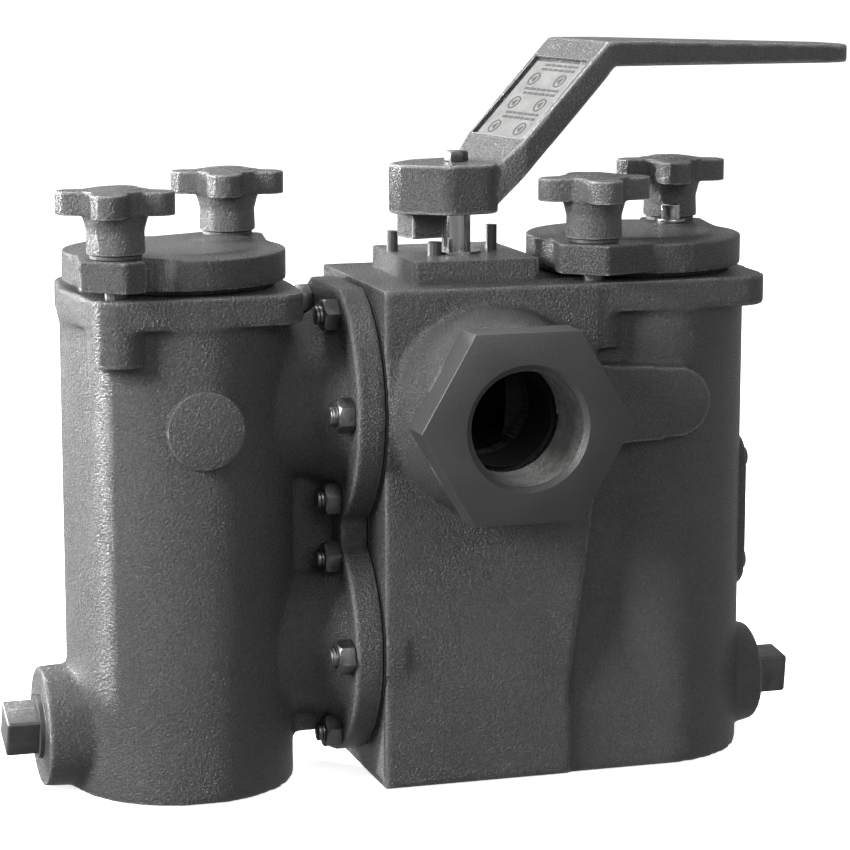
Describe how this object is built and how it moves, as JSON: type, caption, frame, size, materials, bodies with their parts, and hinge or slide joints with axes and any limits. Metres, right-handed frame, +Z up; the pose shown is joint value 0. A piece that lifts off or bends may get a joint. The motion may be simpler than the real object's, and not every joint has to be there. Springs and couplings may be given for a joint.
{
  "type": "duplex basket strainer",
  "caption": "Twin-chamber pipeline basket strainer with a changeover valve, lever, swing covers and hand knobs, and threaded hexagonal ports.",
  "frame": {"origin": "base plane under the valve stem", "axes": "+Z up along the stem, -Y out of the front port, +X towards the right basket chamber"},
  "size_m": [0.3871, 0.193, 0.307],
  "materials": {
    "casting": "grey paint over sand-cast iron",
    "cover": "grey paint over sand-cast iron",
    "knob": "grey paint over cast iron",
    "lever": "grey paint over cast iron",
    "plug": "grey paint on steel",
    "gasket": "dark pressed fibre sheet",
    "fastener": "dull plated steel",
    "bright_steel": "bright turned steel",
    "valve_steel": "dull oxidised steel",
    "basket": "perforated stainless sheet",
    "seal": "black rubber",
    "seat": "carbon-filled fluoropolymer",
    "label": "printed plate"
  },
  "bodies": {
    "housing": {"flange_gasket": "gasket", "flange_stud_01": "fastener", "flange_stud_02": "fastener", "flange_stud_03": "fastener", "flange_stud_04": "fastener", "flange_stud_05": "fastener", "flange_stud_06": "fastener", "flange_stud_07": "fastener", "flange_stud_08": "fastener", "flange_stud_09": "fastener", "flange_stud_10": "fastener", "flange_stud_11": "fastener", "flange_stud_12": "fastener", "left_bail": "basket", "left_basket": "basket", "left_chamber": "casting", "left_cover_ring": "seal", "left_drain_plug": "plug", "left_front_stud": "fastener", "left_rear_stud": "fastener", "lower_seat_left": "seat", "lower_seat_retainer": "valve_steel", "lower_seat_right": "seat", "main_body": "casting", "right_bail": "basket", "right_basket": "basket", "right_cover_ring": "seal", "right_drain_plug": "plug", "right_front_stud": "fastener", "right_rear_stud": "fastener", "stem_bush": "bright_steel", "stem_ring": "seal", "stop_pin_1": "fastener", "stop_pin_2": "fastener", "stop_pin_3": "fastener", "upper_seat_left": "seat", "upper_seat_retainer": "valve_steel", "upper_seat_right": "seat"},
    "valve_rotor": {"valve_stem": "bright_steel", "ball_link": "valve_steel", "lower_trunnion": "valve_steel", "upper_ball": "valve_steel", "lower_ball": "valve_steel", "handle": "lever", "label_plate": "label", "clamp_bolt": "fastener"},
    "left_cover": {"left_cover": "cover"},
    "right_cover": {"right_cover": "cover", "vent_plug": "bright_steel"},
    "left_front_washer": {"left_front_washer": "fastener"},
    "left_front_knob": {"left_front_knob": "knob"},
    "left_rear_washer": {"left_rear_washer": "fastener"},
    "left_rear_knob": {"left_rear_knob": "knob"},
    "right_front_washer": {"right_front_washer": "fastener"},
    "right_front_knob": {"right_front_knob": "knob"},
    "right_rear_washer": {"right_rear_washer": "fastener"},
    "right_rear_knob": {"right_rear_knob": "knob"}
  },
  "joints": [
    {"name": "changeover_turn", "type": "hinge", "parent": "housing", "child": "valve_rotor", "pos_m": [0, 0, 0.236], "axis": [0, 0, 1], "range_deg": [0, 180]},
    {"name": "left_cover_swing", "type": "hinge", "parent": "housing", "child": "left_cover", "pos_m": [-0.0907, 0.0364, 0.2145], "axis": [0, 0, 1], "range_deg": [-105, 0]},
    {"name": "right_cover_swing", "type": "hinge", "parent": "housing", "child": "right_cover", "pos_m": [0.0487, -0.0364, 0.2145], "axis": [0, 0, 1], "range_deg": [-105, 0]},
    {"name": "left_front_knob_lift", "type": "slide", "parent": "housing", "child": "left_front_washer", "axis": [0, 0, 1], "range_m": [0, 0.00475]},
    {"name": "left_front_knob_turn", "type": "hinge", "parent": "left_front_washer", "child": "left_front_knob", "pos_m": [-0.1533, -0.0364, 0.2425], "axis": [0, 0, 1], "range_deg": [0, 1080]},
    {"name": "left_rear_knob_lift", "type": "slide", "parent": "housing", "child": "left_rear_washer", "axis": [0, 0, 1], "range_m": [0, 0.00475]},
    {"name": "left_rear_knob_turn", "type": "hinge", "parent": "left_rear_washer", "child": "left_rear_knob", "pos_m": [-0.0907, 0.0364, 0.2425], "axis": [0, 0, 1], "range_deg": [0, 1080]},
    {"name": "right_front_knob_lift", "type": "slide", "parent": "housing", "child": "right_front_washer", "axis": [0, 0, 1], "range_m": [0, 0.00475]},
    {"name": "right_front_knob_turn", "type": "hinge", "parent": "right_front_washer", "child": "right_front_knob", "pos_m": [0.0487, -0.0364, 0.2425], "axis": [0, 0, 1], "range_deg": [0, 1080]},
    {"name": "right_rear_knob_lift", "type": "slide", "parent": "housing", "child": "right_rear_washer", "axis": [0, 0, 1], "range_m": [0, 0.00475]},
    {"name": "right_rear_knob_turn", "type": "hinge", "parent": "right_rear_washer", "child": "right_rear_knob", "pos_m": [0.1113, 0.0364, 0.2425], "axis": [0, 0, 1], "range_deg": [0, 1080]}
  ],
  "couplings": [
    {"joint": "left_front_knob_turn", "follows": "left_front_knob_lift", "rad_per_m": 3957.9},
    {"joint": "left_rear_knob_turn", "follows": "left_rear_knob_lift", "rad_per_m": 3957.9},
    {"joint": "right_front_knob_turn", "follows": "right_front_knob_lift", "rad_per_m": 3957.9},
    {"joint": "right_rear_knob_turn", "follows": "right_rear_knob_lift", "rad_per_m": 3957.9}
  ]
}
